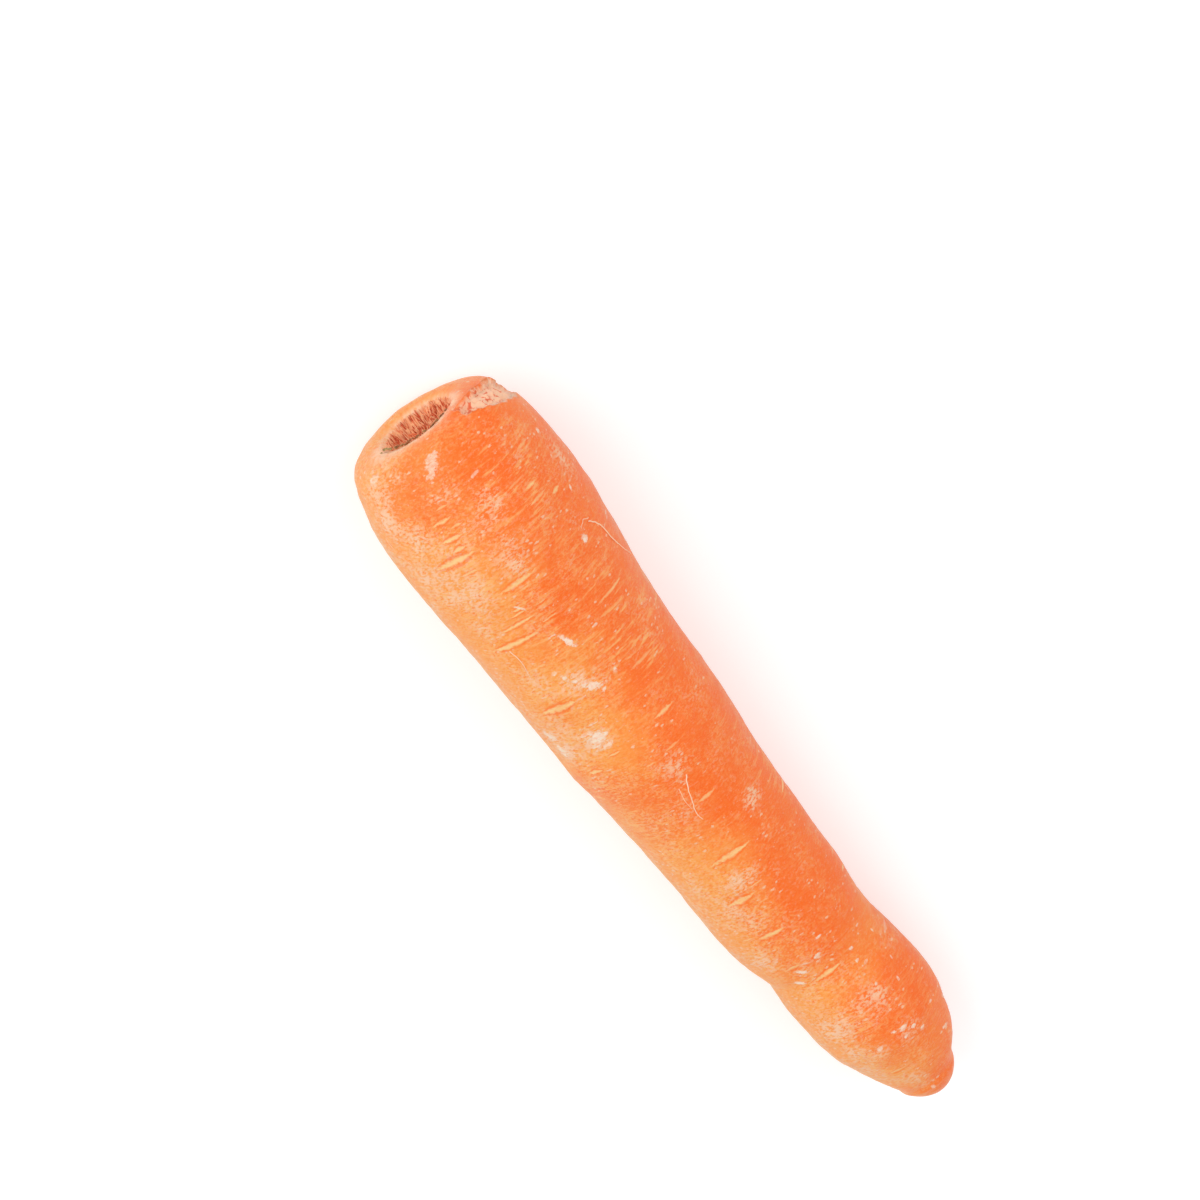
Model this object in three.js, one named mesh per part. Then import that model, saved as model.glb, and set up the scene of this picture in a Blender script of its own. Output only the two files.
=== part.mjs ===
// A fresh carrot, topped, washed and laid on its side: one root, so one solid.
// It is turned as a lathe form from the outline of half the root, and then its skin is moved in and
// out to make it uneven, its centreline is bent, and its underside is flattened where it lies.
// Lengths are in millimetres. +X runs from the crown to the tip and +Z is up. The origin lies on the
// surface below, under the middle of the root's box.
// It needs the npm package three, and its default export is a THREE.Group with one mesh.

import * as THREE from "three";
import { mergeVertices } from "three/addons/utils/BufferGeometryUtils.js";

// ---- Driving dimensions ----

const ROOT_LENGTH = 191; // from the crown's face to the tip
const SHOULDER_RADIUS = 20.7; // the widest section
const CRATER_RADIUS = 7.5; // the hollow that the leaf stalks leave in the crown
const CRATER_DEPTH = 3.8;
const COLLAR_RISE = 0.8; // how far the crown stands out round the crater
const NUB_RADIUS = 7.2; // the rounded end of the root
const NUB_LENGTH = 6.3;
const NUB_TAPER = 1.3; // 1 makes the end an ellipse, and more makes it more pointed
const FLAT_DEPTH = 0.55; // what the underside loses where it is pressed flat

const SEGMENTS_AROUND = 60;
const RINGS_PER_SPAN = 2; // rings from one point of the outline to the next
const NUB_POINTS = 5; // points of the outline on the rounded end
const CURVE_SAMPLES = 400;

// ---- The outline of half the root ----

// The crown, from the middle of the crater out over the collar: [distance from the crown's face, radius].
const CROWN = [
  [CRATER_DEPTH, 0],
  [0.96 * CRATER_DEPTH, 0.45 * CRATER_RADIUS],
  [0.78 * CRATER_DEPTH, 0.8 * CRATER_RADIUS],
  [0.22 * CRATER_DEPTH, 0.98 * CRATER_RADIUS],
  [-0.6 * COLLAR_RISE, CRATER_RADIUS + 1.2],
  [-COLLAR_RISE, CRATER_RADIUS + 3],
  [-0.5 * COLLAR_RISE, CRATER_RADIUS + 5.2],
];

// The body, from the collar to the nub: [share of the length, share of the shoulder's radius]. It
// narrows to a waist, swells into a last lobe and draws in to the nub.
const BODY = [
  [0.005, 0.765],
  [0.018, 0.86],
  [0.04, 0.93],
  [0.075, 0.98],
  [0.115, 1],
  [0.17, 0.985],
  [0.24, 0.935],
  [0.3, 0.895],
  [0.365, 0.865],
  [0.42, 0.855],
  [0.48, 0.815],
  [0.55, 0.775],
  [0.625, 0.75],
  [0.69, 0.73],
  [0.735, 0.695],
  [0.77, 0.67],
  [0.81, 0.69],
  [0.85, 0.695],
  [0.88, 0.67],
  [0.903, 0.61],
  [0.923, 0.552],
  [0.942, 0.478],
  [0.957, 0.405],
];

// ---- The centreline ----

// [distance from the crown's face, sideways shift, height of the centre before the flat is pressed in]
const CENTRELINE = [
  [0, -0.1, 20.4],
  [24, 0.2, 20.7],
  [40, 0, 19.9],
  [64, -0.6, 18.4],
  [84, -0.4, 17.85],
  [104, -0.2, 16.4],
  [124, -0.1, 15.5],
  [139, 0.2, 14.6],
  [148, 1.2, 13.95],
  [164, 2.6, 14.45],
  [178, 3.3, 14],
  [185, 3, 13.8],
  [191, 3.4, 13.6],
];

// ---- What makes the root uneven ----

// Waves round the section: it is a little oval, three-sided and five-sided by turns. Each is nil at
// both flanks, where the outline above already gives the width.
// [waves round the section, height, length of one wave along the root, phase in radians]
const SECTION_WAVES = [
  [2, 0.34, 118, 0.4],
  [3, 0.24, 74, 1.3],
  [5, 0.13, 46, 2.2],
];

// Local swellings and hollows, each a soft mound: distance from the crown's face, degrees round from
// +Y towards +Z, half its length along the root, half its width in degrees, and its height.
const MOUNDS = [
  { at: 6, around: 180, reach: 7, spread: 40, height: -0.45 },
  { at: 30, around: 75, reach: 9, spread: 30, height: -0.35 },
  { at: 51, around: 0, reach: 7, spread: 40, height: -0.2 },
  { at: 60, around: 130, reach: 10, spread: 26, height: 0.3 },
  { at: 82, around: 180, reach: 5, spread: 40, height: 0.25 },
  { at: 97, around: 60, reach: 7, spread: 24, height: -0.3 },
  { at: 118, around: 110, reach: 8, spread: 28, height: 0.25 },
  { at: 132, around: 0, reach: 5, spread: 40, height: 0.2 },
  { at: 146, around: 180, reach: 5, spread: 50, height: -0.5 },
  { at: 152, around: 80, reach: 6, spread: 30, height: -0.35 },
  { at: 168, around: 120, reach: 7, spread: 30, height: 0.3 },
  { at: 183.2, around: 0, reach: 1.3, spread: 28, height: -0.5 }, // the notch beside the nub
];

const MOUND_FADE_RADIUS = 6; // nearer the axis than this, a mound fades

// A strip of skin is torn off the crown, from the collar slanting down over the shoulder, and the torn
// place has a steep edge. `from` is distance from the crown's face plus radius, which grows over the
// crown; the strip's middle moves by `slant` of it a degree. `edge` is the share of the strip's size
// over which its edge falls.
const TEAR = { around: 16, from: 19.5, slant: -0.16, halfWidth: 5, halfAngle: 38, depth: 1.2, edge: 0.12 };

// The stub of fibres that the leaf stalks leave: ridges from the crater's middle to its wall.
const FIBRE_RIDGES = 12;
const FIBRE_HEIGHT = 0.35;

// ---- Functions ----

// The value of the second or a later column where the first is `at`, along a smooth curve through the rows.
function smoothColumn(rows, column) {
  const curve = new THREE.SplineCurve(rows.map((row) => new THREE.Vector2(row[0], row[column])));
  const samples = curve.getPoints(CURVE_SAMPLES);
  return (at) => {
    const next = samples.findIndex((sample) => sample.x >= at);
    if (next < 0) return samples[CURVE_SAMPLES].y;
    if (next === 0) return samples[0].y;
    const [a, b] = [samples[next - 1], samples[next]];
    return THREE.MathUtils.mapLinear(at, a.x, b.x, a.y, b.y);
  };
}

// The rounded end, close to a quarter of an ellipse, that closes on the axis.
function nubOutline() {
  return Array.from({ length: NUB_POINTS }, (_, i) => {
    const turn = (Math.PI / 2) * (i / (NUB_POINTS - 1));
    const along = NUB_LENGTH * Math.sin(turn) ** NUB_TAPER;
    return [ROOT_LENGTH - NUB_LENGTH + along, NUB_RADIUS * Math.cos(turn) ** NUB_TAPER];
  });
}

// The outline as points of (radius, distance from the crown's face), both ends on the axis.
function rootOutline() {
  const body = BODY.map(([length, radius]) => [length * ROOT_LENGTH, radius * SHOULDER_RADIUS]);
  const rows = [...CROWN, ...body, ...nubOutline()];
  const curve = new THREE.SplineCurve(rows.map(([at, radius]) => new THREE.Vector2(radius, at)));
  const rings = curve.getPoints((rows.length - 1) * RINGS_PER_SPAN);
  rings[0].x = 0;
  rings[rings.length - 1].x = 0;
  return rings;
}

// Degrees from one direction round the root to another, between -180 and 180.
function turnedFrom(around, angle) {
  return THREE.MathUtils.euclideanModulo(THREE.MathUtils.radToDeg(angle) - around + 180, 360) - 180;
}

// The waves grow with the radius, so that they are nil at both ends.
function waveHeight(at, angle, radius) {
  const size = Math.min(radius / SHOULDER_RADIUS, 1);
  let height = 0;
  for (const [waves, high, long, phase] of SECTION_WAVES) {
    height += size * high * Math.sin(waves * angle) * Math.cos((2 * Math.PI * at) / long + phase);
  }
  return height;
}

// A mound's height falls off as a bell curve, along the root and round it, and is nil on the axis.
function moundHeight(mound, at, angle, radius) {
  const turned = turnedFrom(mound.around, angle);
  const bell = Math.exp(-(((at - mound.at) / mound.reach) ** 2) - (turned / mound.spread) ** 2);
  return mound.height * bell * Math.min(radius / MOUND_FADE_RADIUS, 1);
}

// How deep the tear is: flat in the middle, with its edge where a scale of its own size reads 1.
function tearDepth(at, angle, radius) {
  const turned = turnedFrom(TEAR.around, angle);
  const across = (at + radius - TEAR.from - TEAR.slant * turned) / TEAR.halfWidth;
  const scale = Math.hypot(across, turned / TEAR.halfAngle);
  return TEAR.depth * (1 - THREE.MathUtils.smoothstep(scale, 1 - TEAR.edge, 1 + TEAR.edge));
}

// The old fibres run from the crater's middle to its rim, where they fade.
function fibreHeight(angle, radius) {
  return FIBRE_HEIGHT * Math.sin((Math.PI * radius) / CRATER_RADIUS) * Math.cos(FIBRE_RIDGES * angle);
}

// How far the skin stands out from the turned form, square to it.
function unevenness(at, angle, radius) {
  const onCrown = at < ROOT_LENGTH / 2;
  if (onCrown && radius < CRATER_RADIUS) return fibreHeight(angle, radius);
  const mounds = MOUNDS.reduce((sum, mound) => sum + moundHeight(mound, at, angle, radius), 0);
  const tear = onCrown ? tearDepth(at, angle, radius) : 0;
  return waveHeight(at, angle, radius) + mounds - tear;
}

// The lathe turns about its Y axis, so its Y becomes the root's X and its X and Z the section.
function rootGeometry() {
  const sideways = smoothColumn(CENTRELINE, 1);
  const height = smoothColumn(CENTRELINE, 2);
  const turned = new THREE.LatheGeometry(rootOutline(), SEGMENTS_AROUND);
  const position = turned.getAttribute("position");
  const normal = turned.getAttribute("normal");
  const point = new THREE.Vector3();
  const outward = new THREE.Vector3();
  for (let i = 0; i < position.count; i++) {
    point.fromBufferAttribute(position, i);
    outward.fromBufferAttribute(normal, i);
    const at = point.y;
    const radius = Math.hypot(point.x, point.z);
    const angle = Math.atan2(point.x, point.z);
    point.addScaledVector(outward, unevenness(at, angle, radius));
    const up = height(at) + point.x - FLAT_DEPTH;
    position.setXYZ(i, point.y, sideways(at) + point.z, Math.max(up, 0));
  }
  turned.deleteAttribute("normal");
  turned.deleteAttribute("uv");
  const closed = mergeVertices(turned);
  closed.computeBoundingBox();
  const middle = closed.boundingBox.getCenter(new THREE.Vector3());
  closed.translate(-middle.x, -middle.y, 0);
  closed.computeVertexNormals();
  return closed;
}

// ---- The root ----

const skin = new THREE.MeshStandardMaterial({ color: 0xfb7f3a, roughness: 0.55, metalness: 0 });

const root = new THREE.Mesh(rootGeometry(), skin);
root.name = "carrot_root";

const carrot = new THREE.Group();
carrot.add(root);

export default carrot;
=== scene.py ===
"""A fresh carrot, topped, washed and lying on its side.

Every piece is a surface worked out as whole arrays from the carrot's own sizes, in millimetres, and
then put into its mesh in metres. Places on the root are given as the distance from the crown's face
and the degrees round the root, from +Y towards +Z.
"""

import math

import bpy
import numpy as np
from mathutils import Matrix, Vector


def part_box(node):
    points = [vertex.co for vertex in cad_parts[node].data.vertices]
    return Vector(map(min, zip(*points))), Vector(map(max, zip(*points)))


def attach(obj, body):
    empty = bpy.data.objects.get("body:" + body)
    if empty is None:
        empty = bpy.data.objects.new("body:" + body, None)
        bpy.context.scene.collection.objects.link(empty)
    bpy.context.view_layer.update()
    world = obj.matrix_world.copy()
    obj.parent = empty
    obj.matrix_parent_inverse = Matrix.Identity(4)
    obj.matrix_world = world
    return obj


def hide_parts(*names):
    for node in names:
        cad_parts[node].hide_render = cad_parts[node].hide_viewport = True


bl_info = {
    "name": "Carrot",
    "version": (1, 0, 0),
    "blender": (4, 5, 0),
    "location": "View3D > Sidebar > Carrot",
    "description": "Builds a fresh carrot: its skin, its crown's scar, its rootlets and a plain stage",
    "category": "Add Mesh",
}

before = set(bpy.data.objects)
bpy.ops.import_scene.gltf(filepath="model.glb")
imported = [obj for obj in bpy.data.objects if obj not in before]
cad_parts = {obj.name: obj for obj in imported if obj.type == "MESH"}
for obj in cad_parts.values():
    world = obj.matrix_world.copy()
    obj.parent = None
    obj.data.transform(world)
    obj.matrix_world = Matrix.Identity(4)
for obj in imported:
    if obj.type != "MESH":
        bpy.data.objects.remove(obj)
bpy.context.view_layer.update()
LOW, HIGH = (np.array(corner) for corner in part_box("carrot_root"))

NODE = "carrot_root"
BODY = "root"
MM = 0.001

# ---- The outline of half the root ----

# The crown, from the middle of the crater out over the collar, as shares of the crater's depth or of
# the collar's rise, and the crater's radius times a share plus a distance in millimetres.
CRATER_OUTLINE = [(1, 0), (0.96, 0.45), (0.78, 0.8), (0.22, 0.98)]
COLLAR_OUTLINE = [(-0.6, 1.2), (-1, 3), (-0.5, 5.2)]

# The body, from the collar to the nub: (share of the length, share of the shoulder's radius).
BODY_OUTLINE = [
    (0.005, 0.765),
    (0.018, 0.86),
    (0.04, 0.93),
    (0.075, 0.98),
    (0.115, 1),
    (0.17, 0.985),
    (0.24, 0.935),
    (0.3, 0.895),
    (0.365, 0.865),
    (0.42, 0.855),
    (0.48, 0.815),
    (0.55, 0.775),
    (0.625, 0.75),
    (0.69, 0.73),
    (0.735, 0.695),
    (0.77, 0.67),
    (0.81, 0.69),
    (0.85, 0.695),
    (0.88, 0.67),
    (0.903, 0.61),
    (0.923, 0.552),
    (0.942, 0.478),
    (0.957, 0.405),
]
NUB_POINTS = 5
NUB_TAPER = 1.3  # 1 makes the end an ellipse, and more makes it more pointed

# The centreline: (distance from the crown's face, sideways shift, height before the flat is pressed
# in).
CENTRELINE = [
    (0, -0.1, 20.4),
    (24, 0.2, 20.7),
    (40, 0, 19.9),
    (64, -0.6, 18.4),
    (84, -0.4, 17.85),
    (104, -0.2, 16.4),
    (124, -0.1, 15.5),
    (139, 0.2, 14.6),
    (148, 1.2, 13.95),
    (164, 2.6, 14.45),
    (178, 3.3, 14),
    (185, 3, 13.8),
    (191, 3.4, 13.6),
]

# Waves round the section: (waves, height, length of one wave along the root, phase in radians).
SECTION_WAVES = [(2, 0.34, 118, 0.4), (3, 0.24, 74, 1.3), (5, 0.13, 46, 2.2)]

# Swellings and hollows: (distance from the crown's face, degrees round, half length, half width in
# degrees, height).
MOUNDS = [
    (6, 180, 7, 40, -0.45),
    (30, 75, 9, 30, -0.35),
    (51, 0, 7, 40, -0.2),
    (60, 130, 10, 26, 0.3),
    (82, 180, 5, 40, 0.25),
    (97, 60, 7, 24, -0.3),
    (118, 110, 8, 28, 0.25),
    (132, 0, 5, 40, 0.2),
    (146, 180, 5, 50, -0.5),
    (152, 80, 6, 30, -0.35),
    (168, 120, 7, 30, 0.3),
    (183.2, 0, 1.3, 28, -0.5),
]
MOUND_FADE_RADIUS = 6

# The strip of skin torn off the crown: its middle's degrees round and place (distance from the
# crown's face plus radius), how the place moves with each degree, and its half sizes.
TEAR_AROUND = 16
TEAR_FROM = 19.5
TEAR_SLANT = -0.16
TEAR_HALF_WIDTH = 5
TEAR_HALF_ANGLE = 38
BARE_GROWTH = 1.06  # how much larger than the torn strip the bare place is
TEAR_FLANK_DEPTH = 0.3  # share of its depth that the tear gains on the +Y flank

PITH_RISE = 0.9  # what dry pith adds to the crater's floor
PITH_RIDGES = 12
PITH_RIDGE_HEIGHT = 0.35
PITH_FINE = (0.16, 1.1, 21)  # finer random ridges: (height, length of the waves, seed)
SPOKE_SLOPE = 0.15  # how much a pattern of spokes changes with each millimetre of radius

# ---- Relief of the skin ----

# Even ripples: (height, length of the waves, seed). The last is drawn out round the root.
SKIN_RIPPLES = [(0.05, 17, 11), (0.035, 6, 12)]
ROUND_RIPPLE = (0.018, 1.6, 13)
ROUND_STRETCH = 0.22
DRY_RIPPLE = (0.02, 1.5, 14)  # only where the skin is dry
TORN_RIPPLES = [(0.16, 1.7, 15), (0.1, 3.4, 16)]  # only where the skin is torn off
TORN_RAGGED = (0.07, 2.2, 31)  # how ragged the torn place's edge is, as a share of its size
TONE_DRIFT = (0.12, 30, 17)  # how the orange's tone drifts over the skin
SPINDLE_RELIEF = 0.13
TORN_FADE = (0.9, 1.04)  # where the torn place ends, on the scale that is 1 on its edge
TORN_RIM = (0.88, 0.12)  # place and width of its dried edge on that scale
CURL_HEIGHT = 0.3  # of the torn edge over the shoulder
CURL_PLACE = 1.1  # on the same scale
CURL_WIDTH = 0.06
PALER_CROWN = 0.14  # what the tone gains on the crown's end

# ---- Patterns and finish of the skin ----

# Sizes of the material's patterns, in millimetres.
DRIFT = 24  # where the orange turns redder or yellower
STREAK = 0.8
STREAK_PATCH = 14
FINE_GRAIN = 0.38
COARSE_GRAIN = 2.2
STIPPLE = 0.42
FILM = 8  # where the film of dried skin is thicker
SCALE = 0.55  # the scales that the film breaks into
FLECK = 0.8
FLECK_CLUSTER = 5
WOBBLE = 0.9  # in the edges of breathing scars
RAGGED = 1.0  # in the edges of scuffs
PIT = 1.8  # in the torn flesh
CRUMBLE = 1.4  # in the crater's rim
SPOKE = 0.5  # the streaks that run out over the crater's floor and rim

STREAK_SQUEEZE = 0.13  # how much slower streaks change round the root than along it
STIPPLE_SQUEEZE = 0.55
BUMP_STRENGTH = 0.6
BUMP_DEPTH = 0.3  # millimetres

SKIN_SHADER = {
    "Subsurface Weight": 0.1,
    "Subsurface Radius": (1.0, 0.4, 0.2),
    "Subsurface Scale": 0.0015,
    "Specular IOR Level": 0.35,
    "Sheen Weight": 0.45,
    "Sheen Roughness": 0.22,
    "Sheen Tint": (1.0, 0.78, 0.66, 1),
}

# ---- Marks on the skin ----

LAYERS = "abc"  # marks that would touch go to different layers

HELD_ROUND = 1.1  # how far round a mark its layer is taken, in millimetres
DRAWN_ROUND = 0.5  # how far round a mark its edge may wander

# Breathing scars, each a pale spindle across the root: (distance, degrees round, length, width,
# paleness). The length and width are those of the clearly pale part.
SPINDLE_TAILS = 1.35  # how much longer the whole scar is, with its thin ends
SPINDLE_SOFT_EDGE = 1.25  # how much wider it is, with its soft edges
SPINDLE_TAPER = 2.0
SPINDLE_TURN = 2  # degrees, the most that a scar is turned
SPINDLES = [
    (8.5, 56, 2.2, 0.7, 0.5),
    (11.5, 47, 3.4, 0.9, 0.5),
    (10.5, 108, 2.6, 0.6, 0.7),
    (13, 113, 4.4, 0.9, 0.9),
    (15.5, 67, 4.6, 0.6, 0.45),
    (15, 107, 3, 0.6, 0.7),
    (17, 114, 5, 1, 1),
    (18, 60, 3.2, 1, 0.6),
    (19.5, 114, 3.2, 0.9, 1),
    (21, 61, 5.4, 0.8, 0.75),
    (21.5, 121, 10, 1.5, 0.9),
    (25, 118, 5, 0.6, 0.6),
    (23, 48, 2.6, 0.9, 0.8),
    (32, 100, 8.6, 1.1, 0.8),
    (37, 109, 2.4, 0.6, 0.9),
    (40, 115, 9, 0.8, 1),
    (43.5, 123, 12, 1.2, 1),
    (47, 56, 8.2, 0.8, 0.75),
    (50.5, 117, 1.8, 0.7, 0.6),
    (57, 44, 6, 0.4, 0.4),
    (61, 126, 8.5, 1.5, 1),
    (63, 64, 7, 0.8, 0.6),
    (74.5, 73, 5.6, 0.9, 0.75),
    (76, 117, 3.4, 0.5, 0.8),
    (78.5, 139, 4, 0.9, 0.8),
    (81.5, 83, 4.2, 0.6, 0.5),
    (82, 102, 2.6, 0.4, 0.4),
    (95.5, 85, 4.8, 0.9, 0.8),
    (110, 97, 9.2, 1.3, 1),
    (120.5, 113, 6.8, 1.3, 0.9),
    (123, 99, 2.6, 0.5, 0.6),
    (130, 132, 3, 0.5, 0.7),
    (131, 112, 6.6, 1.2, 0.9),
    (141, 117, 3.6, 0.8, 0.8),
    (146.5, 99, 7.6, 1, 1),
    (175.5, 114, 4, 0.7, 0.7),
]

# Scuffs, each a small pale oval: (distance, degrees round, length, width, turn from across the root in
# degrees, paleness).
SCUFFS = [
    (1, 149, 3.2, 2, 10, 0.9),
    (3, 99, 7.6, 2.5, 53, 0.7),
    (9, 82, 3.4, 0.8, 10, 0.6),
    (13, 27, 1.6, 1.3, 60, 0.9),
    (25.5, 37, 1.4, 0.7, 70, 0.9),
    (35, 51, 2.3, 2, 30, 1),
    (37, 107, 3.3, 0.6, 129, 0.8),
    (49, 96, 4.8, 1.5, 110, 1),
    (50, 77, 1.5, 0.7, 0, 0.9),
    (53.5, 114, 1.3, 1.1, 0, 0.8),
    (55.5, 111, 1.3, 1.1, 0, 0.8),
    (57.5, 107, 1.3, 1, 0, 0.8),
    (59, 103.5, 1.8, 1.2, 30, 0.9),
    (60.5, 99, 4, 2.4, 147, 0.9),
    (62.5, 95, 1.6, 1, 20, 0.8),
    (60.5, 82, 1.5, 1, 60, 0.8),
    (67.6, 152, 3.8, 2.2, 120, 1),
    (72, 152, 4, 2.2, 105, 1),
    (71, 119, 5.4, 3, 12, 1),
    (69.3, 124, 3.2, 1.1, 14, 0.9),
    (72.8, 124, 3, 1.2, 16, 0.9),
    (73.6, 116, 3.4, 1.3, 10, 0.8),
    (69.2, 115, 2.8, 1, 14, 0.8),
    (138, 83, 1.7, 0.8, 0, 0.9),
    (141.5, 94, 2, 1, 10, 0.9),
    (141.5, 106, 1.6, 0.5, -20, 0.7),
    (143, 114, 2.8, 1.2, -35, 1),
    (143, 49, 1.4, 0.5, 0, 0.7),
    (145.5, 124, 2.6, 1, -30, 1),
    (145.5, 69, 1.2, 0.9, 0, 0.9),
    (147, 40, 1.3, 0.6, 90, 0.7),
    (148.5, 72, 1.2, 0.9, 20, 0.8),
    (150, 67, 1.2, 0.8, 20, 0.8),
    (150, 20, 4.4, 0.9, 11, 0.7),
    (154, 46, 1, 0.5, 70, 0.7),
    (155, 74, 1.1, 0.7, 50, 0.8),
    (158, 56, 1.3, 0.8, 80, 0.8),
    (166, 90, 1.4, 0.9, 150, 0.9),
    (166.5, 83, 1.9, 1.4, 0, 1),
    (167.5, 109, 1.8, 1.2, 0, 0.8),
    (168, 74, 1.4, 1, 0, 1),
    (168, 44, 1.1, 0.8, 0, 0.8),
    (168.5, 85, 1.3, 0.9, 40, 0.9),
    (170, 68, 1.6, 1, 20, 0.9),
    (170, 91, 1.2, 0.8, 50, 0.8),
    (171.5, 82, 1.3, 0.9, 40, 0.9),
    (176, 39, 3.6, 1, 162, 0.9),
    (186, 97, 1.5, 0.9, 90, 0.8),
]

# Patches of dry skin: (distance, degrees round, half size along the root, half size round it,
# strength).
DRY_PATCHES = [
    (2, 125, 2.5, 3, 0.4),
    (3, 96, 3.2, 2, 0.5),
    (5, 141, 4, 3.5, 0.5),
    (9.5, 148, 4, 4, 0.55),
    (8.5, 107, 2.4, 3, 0.55),
    (12.5, 54, 1, 3.2, 0.55),
    (16.5, 90, 4, 5.5, 0.6),
    (14, 133, 7, 5, 0.35),
    (20, 26, 9, 3.2, 0.6),
    (23, 138, 5, 4, 0.35),
    (24, 128, 8, 6, 0.35),
    (26.5, 92, 5.5, 5, 0.6),
    (30, 50, 2.5, 2, 0.5),
    (37, 124, 7, 5, 0.3),
    (57.5, 105, 3, 4.5, 0.7),
    (67.5, 151, 2.2, 2.8, 0.6),
    (71.5, 119, 3, 4.2, 0.5),
    (72, 147, 2.4, 2.4, 0.6),
    (87, 92, 5, 2.8, 0.5),
    (96, 104, 4.5, 3, 0.5),
    (103.5, 58, 2.3, 3.6, 1),
    (117, 102, 3, 4, 0.75),
    (126, 120, 3, 3, 0.3),
    (137, 141, 3, 4, 0.5),
    (157, 87, 4.5, 4.5, 0.65),
    (159, 129, 3.5, 5, 0.5),
    (165.5, 132, 2.6, 3, 0.5),
    (168, 78, 3.4, 4, 0.7),
    (168, 108, 2.2, 2.2, 0.65),
    (180.5, 105, 4, 3, 0.6),
]

# Places where the skin is smooth and has little grain, with the same columns.
SMOOTH_PATCHES = [
    (9, 72, 8, 9, 1),
    (22, 80, 6, 5, 0.7),
    (41, 88, 6, 4, 0.6),
    (66, 74, 6, 4, 0.6),
    (99, 74, 9, 4, 0.6),
    (124, 76, 9, 5, 0.8),
]

# Places with fine streaks across the root, with the same columns.
STREAKED_PATCHES = [
    (17, 60, 9, 8, 1),
    (27, 126, 8, 7, 0.9),
    (33, 105, 8, 9, 0.8),
    (52, 115, 14, 8, 0.7),
    (56, 58, 12, 9, 0.9),
    (90, 145, 22, 5, 0.8),
    (100, 30, 14, 5, 0.4),
    (160, 120, 10, 6, 0.4),
]

# Creases across the root: (distance, degrees round, half length in degrees, width, depth).
CREASES = [
    (27, 200, 34, 1.6, 0.14),
    (52, 250, 40, 1.4, 0.12),
    (97, 30, 26, 1.8, 0.1),
    (118, 215, 40, 1.5, 0.14),
    (140, 350, 46, 1.8, 0.16),
    (146, 172, 50, 2, 0.2),
    (151, 60, 38, 1.6, 0.12),
    (153, 255, 44, 1.6, 0.16),
]

# Fine rootlets lying on the skin, each a row of places: (distance, degrees round).
ROOTLETS = [
    [(33, 41), (36.3, 33), (40.8, 29), (44.7, 22), (47.6, 14)],
    [(13, 162), (15, 160), (16.7, 158), (18.1, 154), (19.6, 150)],
    [(44.4, 129), (48, 127), (52, 129)],
    [(32.7, 39), (32.2, 44), (33, 49)],
    [(88.5, 87), (91.5, 92), (94.5, 95), (97.5, 98), (99.5, 97)],
    [(90.5, 97), (93.5, 99), (96, 98.5)],
    [(58, 205), (61, 212), (62, 221), (66, 229)],
    [(104, 300), (108, 306), (113, 305), (117, 311)],
    [(130, 214), (131, 222), (134, 229)],
    [(20, 290), (24, 296), (29, 297), (33, 304)],
    [(150, 330), (153, 337), (158, 341)],
]

# ---- Crown fibres, crumbs and rootlets ----

# In millimetres and degrees. A pair is the least and the most.
FIBRE_COUNT = 460
FIBRE_TALL = (1.0, 3.4)
FIBRE_HALF_WIDTH = (0.07, 0.19)
FIBRE_HALF_THICKNESS = (0.05, 0.12)
FIBRE_LEAN = 0.06  # outwards, as a share of its height
FIBRE_LEAN_SPREAD = 0.16
FIBRE_BEND = 1.6  # the power by which the lean grows towards the tip
FIBRE_WAVER = 0.03
FIBRE_ROOT = 0.2  # how far it goes below the crater's floor
FIBRE_OVERTOP = 0.3  # how far it may stand out over the crown's face

CRUMB_COUNT = 84
CRUMB_AROUND = (45, 160)
CRUMB_HALF_LENGTH = (0.12, 0.5)
CRUMB_HALF_WIDTH = (0.08, 0.28)
CRUMB_STANDING = (0.08, 0.5)
CRUMB_BEYOND = 1.3  # outside the crater's radius
CRUMB_BEYOND_SPREAD = 0.35

ROOTLET_HALF_THICKNESS = 0.13
ROOTLET_END = 0.45  # what is left of it at a rootlet's end
ROOTLET_RISE = 0.05  # of a rootlet's middle over the skin

DRY_GRAIN = 0.5  # size of the grain in fibres and crumbs
ROOTLET_GRAIN = 0.8
DRY_BUMP_STRENGTH = 0.4
DRY_BUMP_DEPTH = 0.1

# ---- Floor and lamps ----

FLOOR_HALF = 3.0  # metres
FLOOR_DROP = 0.02  # millimetres below the carrot
FLOOR_GLOW = 0.36
FLOOR_SHADER = {
    "Base Color": (0.8, 0.8, 0.8, 1),
    "Roughness": 0.9,
    "Specular IOR Level": 0.1,
    "Emission Color": (1, 1, 1, 1),
}
SENSOR = 36  # the camera's, in millimetres
LAMP_RIGHT = (0.31, 0.95, 0.12)  # which way a lamp's own right side points

# ---- Sizes, colours and the stage's settings ----


def length_prop(name, description, default):
    """A property for a length, in metres."""
    return bpy.props.FloatProperty(name=name, description=description, default=default, unit="LENGTH")


def number_prop(name, description, default, subtype="NONE"):
    """A property for a plain number, an angle, a lamp's power or a focal length."""
    return bpy.props.FloatProperty(name=name, description=description, default=default, subtype=subtype)


def colour_prop(name, description, default):
    """A property for a colour, as linear values."""
    return bpy.props.FloatVectorProperty(
        name=name, description=description, default=default, subtype="COLOR", min=0, max=1
    )


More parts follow.
